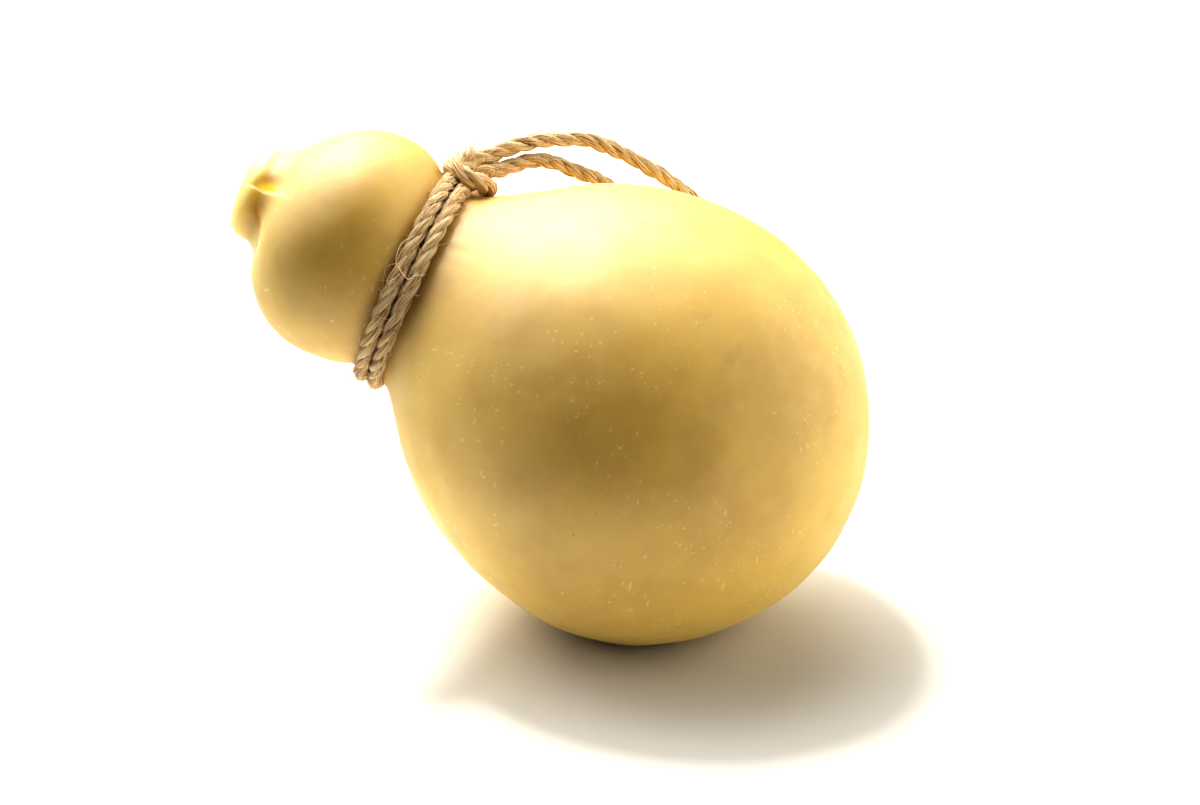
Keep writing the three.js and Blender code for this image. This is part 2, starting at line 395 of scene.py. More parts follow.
# Values of the fibre pattern, or of the crown, between which a colour fades in
PALE_FIBRES = (0.45, 0.6)
DARK_FIBRES = (0.48, 0.36)
# Where the painted shade between the strands fades in, as values of the crown
PAINTED_SHADE_CROWN = (0.3, 0.0)
FIBRE_RELIEF = (0.8, 0.0005)


def cord_material():
    material, nodes = new_material("hemp_cord")
    place = nodes.add("ShaderNodeTexCoord").outputs["Object"]
    lay = nodes.attribute("lay").outputs["Vector"]
    crown = nodes.attribute("crown").outputs["Fac"]
    fibre = nodes.noise(lay, LAY_FIBRES)
    colour = nodes.mix(nodes.ramp(fibre, *PALE_FIBRES), HEMP, HEMP_PALE)
    colour = nodes.mix(nodes.ramp(fibre, *DARK_FIBRES), colour, HEMP_DARK)
    colour = nodes.mix(nodes.pattern(place, STAINS, 0.0, STAIN_SHARE), colour, HEMP_DARK)
    # Painted shade in the gaps between the strands
    colour = nodes.mix(nodes.ramp(crown, *PAINTED_SHADE_CROWN), colour, HEMP_PAINTED_SHADE)
    shader = nodes.add("ShaderNodeBsdfPrincipled", {
        "Base Color": colour,
        "Roughness": 0.6,
        "Normal": nodes.bump(fibre, *FIBRE_RELIEF),
        "Specular IOR Level": 0.6,
        "Sheen Weight": 0.3,
        "Sheen Roughness": 0.4,
    })
    nodes.add("ShaderNodeOutputMaterial", {"Surface": shader.outputs[0]})
    return material


def fibre_material():
    material, nodes = new_material("hemp_fibre")
    place = nodes.add("ShaderNodeTexCoord").outputs["Object"]
    colour = nodes.mix(nodes.noise(place, STRAY_TONES), HEMP_PALE, HEMP_FIBRE)
    shader = nodes.add("ShaderNodeBsdfPrincipled", {"Base Color": colour, "Roughness": 0.6})
    nodes.add("ShaderNodeOutputMaterial", {"Surface": shader.outputs[0]})
    return material


# Steps in each stretch of the cheese's outline
BELLY_STEPS = 64
SHOULDER_STEPS = 40
BELLY_SADDLE_STEPS = 40
HEAD_SADDLE_STEPS = 18
HEAD_NECK_STEPS = 10
HEAD_NUB_STEPS = 30
NUB_WAIST_STEPS = 36
NUB_RIM_STEPS = 24
NUB_FACE_STEPS = 14


# An ellipse's radius at an offset from its middle, and how fast it changes there
def ellipse_at(offset, radius, length):
    value = radius * math.sqrt(1 - (offset / length) ** 2)
    return value, -(radius**2) * offset / (length**2 * value)


def ellipse_arc(centre, radius, length, start, end, steps):
    angles = np.linspace(start, end, steps + 1)[1:]
    return np.stack([radius * np.cos(angles), centre + length * np.sin(angles)], axis=1)


def bezier_arc(corners, steps):
    t = np.linspace(0, 1, steps + 1)[1:, None]
    a, b, c, d = (np.array(corner, float) for corner in corners)
    return (1 - t) ** 3 * a + 3 * (1 - t) ** 2 * t * b + 3 * (1 - t) * t**2 * c + t**3 * d


# The outline from the belly's round end to the nub, as radius and place along the axis, without its two poles
def cheese_outline():
    shoulder, shoulder_slope = ellipse_at(SHOULDER_END, BELLY_RADIUS, SHOULDER_LENGTH)
    head_start, head_start_slope = ellipse_at(HEAD_START - HEAD_ALONG, HEAD_RADIUS, HEAD_NECK_LENGTH)
    head_end, head_end_slope = ellipse_at(HEAD_END - HEAD_ALONG, HEAD_RADIUS, HEAD_NUB_LENGTH)
    shoulder_angle = math.asin(SHOULDER_END / SHOULDER_LENGTH)
    head_start_angle = math.asin((HEAD_START - HEAD_ALONG) / HEAD_NECK_LENGTH)
    head_end_angle = math.asin((HEAD_END - HEAD_ALONG) / HEAD_NUB_LENGTH)
    belly_saddle = [
        (shoulder, SHOULDER_END),
        (shoulder + SHOULDER_HANDLE * shoulder_slope, SHOULDER_END + SHOULDER_HANDLE),
        (NECK_RADIUS, NECK_ALONG - NECK_BELLY_HANDLE),
        (NECK_RADIUS, NECK_ALONG),
    ]
    head_saddle = [
        (NECK_RADIUS, NECK_ALONG),
        (NECK_RADIUS, NECK_ALONG + NECK_HEAD_HANDLE),
        (head_start - HEAD_START_HANDLE * head_start_slope, HEAD_START - HEAD_START_HANDLE),
        (head_start, HEAD_START),
    ]
    nub_waist = [
        (head_end, HEAD_END),
        (head_end + HEAD_END_HANDLE * head_end_slope, HEAD_END + HEAD_END_HANDLE),
        (NUB_RADIUS, NUB_START - NUB_START_HANDLE),
        (NUB_RADIUS, NUB_START),
    ]
    face_slope = 3 * NUB_FACE_DOME / NUB_FACE_RADIUS
    nub_rim = [
        (NUB_RADIUS, NUB_START),
        (NUB_RADIUS, NUB_START + NUB_RIM_HANDLE),
        (NUB_FACE_RADIUS + NUB_FACE_HANDLE, NUB_END - NUB_FACE_DOME - NUB_FACE_HANDLE * face_slope),
        (NUB_FACE_RADIUS, NUB_END - NUB_FACE_DOME),
    ]
    nub_face = [
        (NUB_FACE_RADIUS, NUB_END - NUB_FACE_DOME),
        (2 / 3 * NUB_FACE_RADIUS, NUB_END),
        (1 / 3 * NUB_FACE_RADIUS, NUB_END),
        (0, NUB_END),
    ]
    return np.concatenate([
        ellipse_arc(0, BELLY_RADIUS, BELLY_RADIUS, -math.pi / 2, 0, BELLY_STEPS),
        ellipse_arc(0, BELLY_RADIUS, SHOULDER_LENGTH, 0, shoulder_angle, SHOULDER_STEPS),
        bezier_arc(belly_saddle, BELLY_SADDLE_STEPS),
        bezier_arc(head_saddle, HEAD_SADDLE_STEPS),
        ellipse_arc(HEAD_ALONG, HEAD_RADIUS, HEAD_NECK_LENGTH, head_start_angle, 0, HEAD_NECK_STEPS),
        ellipse_arc(HEAD_ALONG, HEAD_RADIUS, HEAD_NUB_LENGTH, 0, head_end_angle, HEAD_NUB_STEPS),
        bezier_arc(nub_waist, NUB_WAIST_STEPS),
        bezier_arc(nub_rim, NUB_RIM_STEPS),
        bezier_arc(nub_face, NUB_FACE_STEPS)[:-1],
    ])


# A hollow of the pinched nub: its angle, its place along the axis and the spread of both,
# how far it shifts along for each degree, and the degrees in which it drops from the crest, if it ends there
class Hollow(NamedTuple):
    angle: float
    spread: float
    along: float
    length: float
    depth: float
    slant: float = 0
    drop: float = 0


CREST_ANGLE = -63
NUB_HOLLOWS = [
    Hollow(angle=-62, spread=15, along=144.3, length=5.6, depth=2.5, drop=4),
    Hollow(angle=-91, spread=13, along=142.8, length=2.6, depth=1.2, slant=0.215),
    Hollow(angle=-108, spread=14, along=140.6, length=1.1, depth=0.7, slant=0.2),
    Hollow(angle=-152, spread=38, along=139.5, length=5, depth=1.4),
    Hollow(angle=30, spread=25, along=152, length=3, depth=0.6),
    Hollow(angle=88, spread=24, along=146, length=3.6, depth=2.4),
    Hollow(angle=152, spread=22, along=146, length=3.6, depth=1.8),
]


# Degrees from one angle to another, the short way round
def swing(angle, middle):
    return (np.degrees(angle) - middle + 180) % 360 - 180


# How deep the nub is pressed in at a place
def hollow_depth(along, angle):
    depth = np.zeros(np.broadcast(along, angle).shape)
    crest = swing(angle, CREST_ANGLE)
    for hollow in NUB_HOLLOWS:
        turn = swing(angle, hollow.angle)
        shift = along - hollow.along - hollow.slant * turn
        edge = smoothstep(0, 1, crest / hollow.drop) if hollow.drop else 1
        depth += hollow.depth * np.exp(-((turn / hollow.spread) ** 2) - (shift / hollow.length) ** 2) * edge
    return depth


# The nub's end is gathered towards its middle in a few folds
FACE_FOLDS = 5
FACE_FOLD_DEPTH = 0.45
FACE_FOLD_SWAY = 2
FACE_FOLD_TWIST = 3
FACE_DIMPLE = 1.3
FACE_EDGE = 2


def face_depth(along, angle, radius):
    share = np.clip(radius / NUB_FACE_RADIUS, 0, 1)
    on_face = smoothstep(NUB_END - FACE_EDGE, NUB_END - NUB_FACE_DOME, along)
    folds = 1 + np.cos(FACE_FOLDS * angle + FACE_FOLD_SWAY * np.sin(angle) + FACE_FOLD_TWIST * share)
    return on_face * (FACE_DIMPLE * (1 - share) ** 2 + FACE_FOLD_DEPTH * folds * 4 * share * (1 - share))


# The nub bends down, away from the direction at this angle
NUB_BEND = 8
NUB_BEND_ANGLE = 42
NUB_BEND_START = 136
NUB_BEND_END = 147


def bend_nub(points, along):
    turn = math.radians(NUB_BEND_ANGLE)
    side = math.cos(turn) * TOP + math.sin(turn) * BACK
    offset = points - point_about(NUB_BEND_START, 0.0, 0.0)
    out = offset @ AXIS
    up = offset @ side
    bend = math.radians(NUB_BEND) * smoothstep(NUB_BEND_START, NUB_BEND_END, along)
    shift_out = out * (np.cos(bend) - 1) + up * np.sin(bend)
    shift_up = up * (np.cos(bend) - 1) - out * np.sin(bend)
    return points + shift_out[..., None] * AXIS + shift_up[..., None] * side


# Points in each ring of the cheese, and the most of its radius that hollows take away
AROUND = 320
HOLLOW_LIMIT = 0.45

# Pleats: how many of each go round, and where they are strongest on either side of the cord
PLEAT_DEPTH = 0.03
PLEAT_COUNTS = range(14, 47, 4)
PLEAT_STRENGTHS = (0.3, 1)
PLEAT_SEED = 11
BELLY_PLEATS_ALONG = 82
BELLY_PLEATS_SPREAD = 9
BELLY_PLEATS_SHARE = 0.8
HEAD_PLEATS_ALONG = 98
HEAD_PLEATS_SPREAD = 5
HEAD_PLEATS_SHARE = 0.5

# Unevenness of the rind: broad lumps and smaller ones
LUMP_HEIGHT = 0.35
LUMP_LENGTH = 60
LUMP_SEED = 3
SMALL_LUMP_HEIGHT = 0.14
SMALL_LUMP_LENGTH = 18
SMALL_LUMP_SEED = 4
LUMP_WAVES = 9
LUMP_CENTRE = 0.8


# Fine pleats that the cord gathers, strongest beside it
def pleat_height(along, angle):
    rng = np.random.default_rng(PLEAT_SEED)
    ripple = np.zeros(np.broadcast(along, angle).shape)
    for count in PLEAT_COUNTS:
        ripple += np.cos(count * angle + rng.uniform(0, 2 * math.pi)) * rng.uniform(*PLEAT_STRENGTHS)
    belly_side = np.exp(-(((along - BELLY_PLEATS_ALONG) / BELLY_PLEATS_SPREAD) ** 2))
    head_side = np.exp(-(((along - HEAD_PLEATS_ALONG) / HEAD_PLEATS_SPREAD) ** 2))
    return PLEAT_DEPTH * ripple * (BELLY_PLEATS_SHARE * belly_side + HEAD_PLEATS_SHARE * head_side)


# Painted shade beside the neck's cord: its spread and middle along the axis. The nub's paler tip: where it
# starts and ends and how pale. The depth of a hollow that gets all the painted glow
NECK_SHADE_SPREAD = 9
NECK_SHADE_ALONG = 87
GLOW_DEPTH = 1.6
TIP_START = 143
TIP_END = 151
TIP_SHARE = 0.5


# Bumps on the rind: how far each place stands out
def lump_height(points):
    broad = LUMP_HEIGHT * waves(points, LUMP_LENGTH, LUMP_WAVES, LUMP_SEED)
    return broad + SMALL_LUMP_HEIGHT * waves(points, SMALL_LUMP_LENGTH, LUMP_WAVES, SMALL_LUMP_SEED)


# How much painted shade a place gets beside the neck's cord, from 0 to 1
def neck_shade_share(along, angle):
    share = np.exp(-(((along - NECK_SHADE_ALONG) / NECK_SHADE_SPREAD) ** 2))
    return np.broadcast_to(share, np.broadcast(along, angle).shape)


# How much painted glow a place gets, and how deep light goes there, from 0 to 1: the nub's hollows most, then
# its paler tip
def glow_share(along, angle):
    tip = TIP_SHARE * smoothstep(TIP_START, TIP_END, along)
    return np.clip(np.maximum(hollow_depth(along, angle) / GLOW_DEPTH, tip), 0, 1)


# The cheese as rings of points, and how much of each colour they have
def cheese_points():
    outline = cheese_outline()
    angles = np.arange(AROUND) * 2 * math.pi / AROUND
    round_radius, along = (column[:, None] for column in outline.T)
    angle = angles[None, :]
    hollow = np.minimum(hollow_depth(along, angle), HOLLOW_LIMIT * round_radius)
    radius = round_radius - hollow + pleat_height(along, angle)
    lean = NECK_LEAN * np.exp(-(((along - NECK_ALONG) / NECK_LEAN_SPREAD) ** 2))
    place = along + lean_shift(lean, angle, radius) - face_depth(along, angle, round_radius)
    points = bend_nub(point_about(place, angle, radius), along)
    outward = unit(points - point_about(along * LUMP_CENTRE, angle, 0.0))
    points = points + outward * lump_height(points)[..., None]
    return points, neck_shade_share(along, angle), glow_share(along, angle)


# Presses what is below the floor flat, with a soft edge
def settle_on_floor(points):
    z = points[..., 2]
    points[..., 2] = (z + np.sqrt(z**2 + REST_SOFTNESS**2)) / 2
    return points


def make_cheese():
    grid, painted_shade, painted_glow_and_clearness = cheese_points()
    stations = len(grid)
    poles = np.stack([grid[0].mean(axis=0), grid[-1].mean(axis=0)])
    points = settle_on_floor(np.concatenate([grid.reshape(-1, 3), poles]))
    index = np.arange(stations * AROUND).reshape(stations, AROUND)
    beside = np.roll(index, -1, axis=1)
    first = stations * AROUND
    last = first + 1
    faces = ring_quads(index)
    faces += [[first, b, a] for a, b in zip(index[0].tolist(), beside[0].tolist())]
    faces += [[last, a, b] for a, b in zip(index[-1].tolist(), beside[-1].tolist())]
    piece = mesh_object("rind_body", points, faces, rind_material())
    # Painted shade beside the neck's cord
    set_attribute(piece, "painted_shade", "FLOAT", np.concatenate([painted_shade.ravel(), [0, 0]]))
    # Painted glow in the nub's hollows and its paler tip, also how deep light goes
    set_attribute(piece, "painted_glow_and_clearness", "FLOAT", np.concatenate([painted_glow_and_clearness.ravel(), [0, 0]]))
    return piece


# Routes inside the knot, as neck points: offset, turn and radius
HEAD_STRAND = [
    (TURN_OFFSET, KNOT_HALF_TURN, TURN_RADIUS),
    (TURN_OFFSET, KNOT_HALF_TURN - 2, TURN_RADIUS),
    (TURN_OFFSET, 24, TURN_RADIUS),
    (2.5, 15, 35.6),
    (2, 8, 37),
    (0.8, 3, 40.6),
    (-0.8, -0.4, 44.6),
    (-3, -2, 46.8),
]
BELLY_STRAND = [
    (-TURN_OFFSET, KNOT_HALF_TURN, TURN_RADIUS),
    (-TURN_OFFSET, KNOT_HALF_TURN - 2, TURN_RADIUS),
    (-TURN_OFFSET, 24, TURN_RADIUS),
    (-2.8, 15, 35.6),
    (-3.1, 8, 36.8),
    (-4, 3, 39.8),
    (-5.4, -0.4, 43),
    (-7.6, -2.1, 44.8),
]
BIGHT = [
    (TURN_OFFSET, -KNOT_HALF_TURN, TURN_RADIUS),
    (TURN_OFFSET, 2 - KNOT_HALF_TURN, TURN_RADIUS),
    (3, -24, 35.8),
    (4.2, -14, 37),
    (4.8, -4, 38.4),
    (4.4, 6, 39.4),
    (1.8, 13.5, 40),
    (-2.4, 16.5, 40),
    (-6.4, 13.5, 40),
    (-9, 6, 39.6),
    (-9.2, -4, 38.8),
    (-6.6, -14, 37.6),
    (-3.6, -24, 35.9),
    (-TURN_OFFSET, 2 - KNOT_HALF_TURN, TURN_RADIUS),
    (-TURN_OFFSET, -KNOT_HALF_TURN, TURN_RADIUS),
]

# The hanging loop's way, from the belly's centre: up from the knot, over the shoulder,
# down the back of the belly, round its bight and up again
LOOP_ROUTE = [
    (-57.5, 24, 81),
    (-54, 28, 81.8),
    (-50, 32, 82.6),
    (-43.5, 37.5, 83),
    (-36.5, 42.5, 82.5),
    (-29, 47.5, 81),
    (-23, 50.5, 78),
    (-17.5, 53.5, 74.5),
    (-12, 55.5, 71),
    (-6.5, 58, 67),
    (-1, 60, 62.5),
    (3, 62, 58.5),
    (7.5, 64.5, 53.5),
    (11.5, 67.5, 47.5),
    (13, 71, 38),
    (12, 74, 28),
    (8, 76.5, 19.5),
    (1.5, 77.5, 14.5),
    (-6, 77.5, 14),
    (-12.5, 76, 18),
    (-16.5, 73, 25),
    (-18.5, 70.5, 33),
    (-19, 66, 41.5),
    (-19.5, 60.5, 50),
    (-21, 54.5, 58.5),
    (-25.5, 49, 66),
    (-30.5, 45, 69.5),
    (-35.5, 41.5, 72.5),
    (-40.5, 37.5, 75.5),
    (-45.5, 33.5, 77),
    (-49.5, 29.5, 76.8),
    (-54, 24, 76.4),
]
TURN_STEPS = 40
CURVE_STEPS = 24
CORD_STEP = 0.7

# A direction that the cord doesn't run in where its line starts
START_SIDE = (0.3, 0.5, 0.8)


def knot_points(route):
    return np.array([neck_point(*place) for place in route])


def turn_points(offset):
    turns = np.linspace(KNOT_HALF_TURN, 360 - KNOT_HALF_TURN, TURN_STEPS + 1)[1:-1]
    return np.array([neck_point(offset, turn, TURN_RADIUS) for turn in turns])


# The point where the loop goes on from a strand, in the strand's own direction
def lead_out(strand):
    return strand[-1] + LEAD_OUT * unit(strand[-1] - strand[-2])


# A closed centripetal curve through the points, with many places between each two
def closed_curve(points):
    pieces = []
    for i in range(len(points)):
        p0, p1, p2, p3 = (points[(i + k - 1) % len(points)] for k in range(4))
        t0 = 0.0
        t1 = t0 + math.sqrt(np.linalg.norm(p1 - p0))
        t2 = t1 + math.sqrt(np.linalg.norm(p2 - p1))
        t3 = t2 + math.sqrt(np.linalg.norm(p3 - p2))
        t = np.linspace(t1, t2, CURVE_STEPS, endpoint=False)[:, None]
        a1 = (t1 - t) / (t1 - t0) * p0 + (t - t0) / (t1 - t0) * p1
        a2 = (t2 - t) / (t2 - t1) * p1 + (t - t1) / (t2 - t1) * p2
        a3 = (t3 - t) / (t3 - t2) * p2 + (t - t2) / (t3 - t2) * p3
        b1 = (t2 - t) / (t2 - t0) * a1 + (t - t0) / (t2 - t0) * a2
        b2 = (t3 - t) / (t3 - t1) * a2 + (t - t1) / (t3 - t1) * a3
        pieces.append((t2 - t) / (t2 - t1) * b1 + (t - t1) / (t2 - t1) * b2)
    return np.concatenate(pieces)


# The same closed curve with even steps, and its length
def even_steps(curve):
    closed = np.concatenate([curve, curve[:1]])
    reach = np.concatenate([[0], np.cumsum(np.linalg.norm(np.diff(closed, axis=0), axis=1))])
    count = round(reach[-1] / CORD_STEP)
    places = np.arange(count) * reach[-1] / count
    return np.stack([np.interp(places, reach, closed[:, k]) for k in range(3)], axis=1), reach[-1]


# The whole cord as one closed line: the loop, then the belly-side turn, the bight and the head-side turn
def cord_line():
    head, belly, bight = (knot_points(route) for route in (HEAD_STRAND, BELLY_STRAND, BIGHT))
    loop = np.array(LOOP_ROUTE) + BELLY_CENTRE
    controls = np.concatenate([
        head[-1:],
        [lead_out(head)],
        loop,
        [lead_out(belly)],
        belly[::-1],
        turn_points(-TURN_OFFSET),
        bight[::-1],
        turn_points(TURN_OFFSET)[::-1],
        head[:-1],
    ])
    line, length = even_steps(closed_curve(controls))
    loop_end = int(np.argmin(np.linalg.norm(line - belly[-1], axis=1)))
    return line, length, loop_end


# A frame that follows a closed line without twisting, and how far it has turned when it comes round
def line_frames(line):
    tangents = unit(np.roll(line, -1, axis=0) - np.roll(line, 1, axis=0))
    count = len(line)
    normals = np.zeros_like(line)
    normals[0] = unit(np.cross(tangents[0], START_SIDE))
    carried = normals[0]
    for i in range(count):
        following = (i + 1) % count
        carried = unit(carried - tangents[following] * (carried @ tangents[following]))
        if following:
            normals[following] = carried
    sides = np.cross(tangents, normals)
    turned = math.atan2(carried @ sides[0], carried @ normals[0])
    return tangents, normals, sides, turned


# Three-strand lay
STRANDS = 3
STRAND_RADIUS = 1.5
STRAND_OFFSET = 1.1
LAY_LENGTH = 19.8
YARNS = 9
YARN_SIDES = 4
YARN_DEPTH = 0.1
STRAND_SWELL = 0.07
SWELL_LENGTH = 9
SWELL_SEED = 22
STRAND_STRAY = 0.12
STRAY_LENGTH = 14
STRAY_SEED = 21
STRAND_WAVES = 6
STRAND_APART = 3
QUAD = 4
CROWN_LOW = 1.65
CROWN_HIGH = 2.6
FIBRE_STRETCH = 0.06
FIBRE_SHIFT = 7.3

# The cord is fuller in its knot
KNOT_MIDDLE = neck_point(-2.3, 1, 41)
KNOT_REACH = 14
KNOT_FULLNESS = 0.2


def fullness(points):
    reach = np.linalg.norm(points - KNOT_MIDDLE, axis=-1)
    return 1 + KNOT_FULLNESS * np.exp(-((reach / KNOT_REACH) ** 2))


# The strands' turn at each step, so that the lay closes on itself after the whole cord
def lay_turns(count, length, turned):
    thirds = 2 * math.pi / STRANDS
    whole = round((2 * math.pi * length / LAY_LENGTH + turned) / thirds) * thirds - turned
    yarn = 2 * math.pi / YARNS
    yarn_whole = round(whole / yarn) * yarn
    share = np.arange(count + 1) / count
    turns = whole * share
    turns[-1] += turned
    return turns, -yarn_whole * share


# Fibre coordinates on a strand: along it, shrunk so that the pattern is drawn out, and round it
def lay_coordinates(steps, around, strand):
    onward = (steps * CORD_STEP * FIBRE_STRETCH)[:, None] + FIBRE_SHIFT * strand
    across = STRAND_RADIUS * np.cos(around)[None, :]
    down = STRAND_RADIUS * np.sin(around)[None, :]
    return np.stack(np.broadcast_arrays(onward, across, down), axis=-1)


# The whole cord: its line and frames, its strands' turns and twists, and the step where the loop ends
class Rope(NamedTuple):
    line: np.ndarray
    frames: list
    turns: np.ndarray
    twists: np.ndarray
    loop_end: int


def make_rope():
    line, length, loop_end = cord_line()
    *frames, turned = line_frames(line)
    turns, twists = lay_turns(len(line), length, turned)
    return Rope(line, frames, turns, twists, loop_end)


# Directions at each step of a strand: away from the cord's line, and across the strand
def strand_axes(rope, steps, strand):
    tangents, normals, sides = (axis[steps % len(rope.line)] for axis in rope.frames)
    phase = rope.turns[steps] + strand * 2 * math.pi / STRANDS
    outward = np.cos(phase)[:, None] * normals + np.sin(phase)[:, None] * sides
    onward = np.cos(phase)[:, None] * sides - np.sin(phase)[:, None] * normals
    slope = 2 * math.pi * STRAND_OFFSET / LAY_LENGTH
    return outward, unit(onward - slope * tangents)


# One strand over a stretch of the cord: its rings of points, its fibre coordinates and how far out it lies
def strand_rings(rope, steps, strand):
    centres = rope.line[steps % len(rope.line)]
    outward, across = strand_axes(rope, steps, strand)
    full = fullness(centres)
    apart = centres + STRAND_APART * outward
    stray = STRAND_STRAY * waves(apart, STRAY_LENGTH, STRAND_WAVES, STRAY_SEED)
    swell = full * (1 + STRAND_SWELL * waves(apart, SWELL_LENGTH, STRAND_WAVES, SWELL_SEED))
    middle = centres + outward * (full * STRAND_OFFSET + stray)[:, None]
    around = np.arange(YARNS * YARN_SIDES) * 2 * math.pi / (YARNS * YARN_SIDES)
    ridge = 1 - YARN_DEPTH * (1 - np.abs(np.cos(around * YARNS / 2)))
    radius = STRAND_RADIUS * swell[:, None] * ridge[None, :]
    spin = around[None, :] + rope.twists[steps][:, None]
    rings = (
        middle[:, None, :]
        + (radius * np.cos(spin))[..., None] * outward[:, None, :]
        + (radius * np.sin(spin))[..., None] * across[:, None, :]
    )
    reach = np.linalg.norm(rings - centres[:, None, :], axis=-1) / full[:, None]
    crown = np.clip((reach - CROWN_LOW) / (CROWN_HIGH - CROWN_LOW), 0, 1)
    return rings, lay_coordinates(steps, around, strand), crown


# A stretch of the cord as one closed mesh for each strand
def make_cord(name, rope, steps, material):
    points, faces, lays, crowns = [], [], [], []
    for strand in range(STRANDS):
        rings, lay, crown = strand_rings(rope, steps, strand)
        start = sum(len(block) for block in points)
        faces += tube_faces(start, *rings.shape[:2])
        points.append(rings.reshape(-1, 3))
        lays.append(lay.reshape(-1, 3))
        crowns.append(crown.ravel())
    piece = mesh_object(name, np.concatenate(points), faces, material)
    set_attribute(piece, "lay", "FLOAT_VECTOR", np.concatenate(lays))
    set_attribute(piece, "crown", "FLOAT", np.concatenate(crowns))
    sharpen_ends(piece)
    return piece


# The end faces keep their own normals, so the next stretch goes on smoothly
def sharpen_ends(piece):
    for face in piece.data.polygons:
        face.use_smooth = len(face.vertices) == QUAD


# Stray fibres
FIBRE_RADIUS = 0.13
FIBRE_SIDES = 3
FIBRE_POINTS = 7
LOOP_FIBRES = 260
NECK_FIBRES = 560
TUFT_FIBRES = 130
LOOP_FIBRE_SEED = 31
NECK_FIBRE_SEED = 32
TUFT_SEED = 33
HAIR_RADIUS = 0.26
FIBRE_TIP = 0.4

# Where a fibre leaves the cord's line, and the least that it faces away from the cheese
FIBRE_ROOT = 2.1
FIBRE_FACING = -0.1

# A fibre's least and greatest length, and how much longer a rare one is
FIBRE_LENGTHS = (1.5, 4.5)
FIBRE_EXTRA = 1.5
FIBRE_RARENESS = 6

# A fibre's heading along the cord, outward and aside, and how much it bends and comes back
FIBRE_SLANTS = (0.4, 1.2)
FIBRE_LIFTS = (0.25, 1.1)
FIBRE_SWAY = 0.35
FIBRE_BEND = 0.3
FIBRE_RETURN = 0.4

# The tuft: middle and spread of its roots as neck points, its lengths, and how much it fans out and bends
TUFT_OFFSET = (1, 1.4)
TUFT_TURN = (2, 2)
TUFT_RADII = (41, 44.5)
TUFT_LENGTHS = (2.5, 6)
TUFT_FAN = 0.3
TUFT_BEND = 0.3

# A direction that hardly any fibre runs in
FIBRE_SIDE = (0.31, 0.52, 0.79)

# Two long hairs that stand off the neck's cord, as neck points
LOOSE_HAIRS = [
    [
        (3.1, 71, 38),
        (4.3, 73.6, 38.8),
        (5.6, 77.5, 39.4),
        (5.6, 82.9, 39.6),
        (4.4, 87.6, 39.4),
        (2.5, 89.7, 39),
    ],
    [
        (3.6, 88, 38.6),
        (0.4, 90.5, 39.2),
        (-1.6, 91, 39.2),
        (-2.5, 88.1, 39),
        (-4.1, 86.2, 39),
        (-5.8, 84.7, 38),
    ],
]


# The direction away from the cheese's axis
def away_from_axis(point):
    from_centre = point - BELLY_CENTRE
    along = np.clip(from_centre @ AXIS, 0, HEAD_ALONG)
    return unit(from_centre - along * AXIS)


# One fibre's curve: it leaves the cord at a slant and bends back towards it
def fibre_curve(root, tangent, outward, rng):
    length = rng.uniform(*FIBRE_LENGTHS) * (1 + FIBRE_EXTRA * rng.random() ** FIBRE_RARENESS)
    side = np.cross(tangent, outward)
    slant = rng.choice([-1, 1]) * rng.uniform(*FIBRE_SLANTS)
    lift = rng.uniform(*FIBRE_LIFTS)
    heading = unit(slant * tangent + lift * outward + rng.normal(0, FIBRE_SWAY) * side)
    bend = rng.normal(0, FIBRE_BEND, 3) - rng.uniform(0, FIBRE_RETURN) * outward
    t = np.linspace(0, 1, FIBRE_POINTS)[:, None]
    return root + length * (t * heading + t**2 * bend)


# A thin tube that tapers along the curve
def fibre_tube(curve, radius):
    tangents = unit(np.gradient(curve, axis=0))
    normals = unit(np.cross(tangents, FIBRE_SIDE))
    sides = np.cross(tangents, normals)
    around = np.arange(FIBRE_SIDES) * 2 * math.pi / FIBRE_SIDES
    taper = radius * np.linspace(1, FIBRE_TIP, len(curve))[:, None, None]
    ring = np.cos(around)[None, :, None] * normals[:, None] + np.sin(around)[None, :, None] * sides[:, None]
    return curve[:, None] + taper * ring


# Where fibres leave a stretch of the cord, on the sides that don't face the cheese
def fibre_curves(rope, steps, count, seed):
    rng = np.random.default_rng(seed)
    tangents, normals, sides = rope.frames
    curves = []
    while len(curves) < count:
        step = rng.choice(steps) % len(rope.line)
        angle = rng.uniform(0, 2 * math.pi)
        outward = math.cos(angle) * normals[step] + math.sin(angle) * sides[step]
        centre = rope.line[step]
        if outward @ away_from_axis(centre) > FIBRE_FACING:
            curves.append(fibre_curve(centre + FIBRE_ROOT * outward, tangents[step], outward, rng))
    return curves


# The tuft of loose ends that stands up from the knot
def tuft_curves():
    rng = np.random.default_rng(TUFT_SEED)
    curves = []
    for _ in range(TUFT_FIBRES):
        root = neck_point(rng.normal(*TUFT_OFFSET), rng.normal(*TUFT_TURN), rng.uniform(*TUFT_RADII))
        heading = unit(away_from_axis(root) + rng.normal(0, TUFT_FAN, 3))
        bend = rng.normal(0, TUFT_BEND, 3)
        t = np.linspace(0, 1, FIBRE_POINTS)[:, None]
        curves.append(root + rng.uniform(*TUFT_LENGTHS) * (t * heading + t**2 * bend))
    return curves


# How much of each side of a corner is cut off, and how often
CORNER_CUT = 0.25
CORNER_ROUNDS = 3


# A polyline with its corners cut off
def smoothed(points):
    for _ in range(CORNER_ROUNDS):
        near = (1 - CORNER_CUT) * points[:-1] + CORNER_CUT * points[1:]
        far = CORNER_CUT * points[:-1] + (1 - CORNER_CUT) * points[1:]
        points = np.concatenate([points[:1], np.stack([near, far], axis=1).reshape(-1, 3), points[-1:]])
    return points


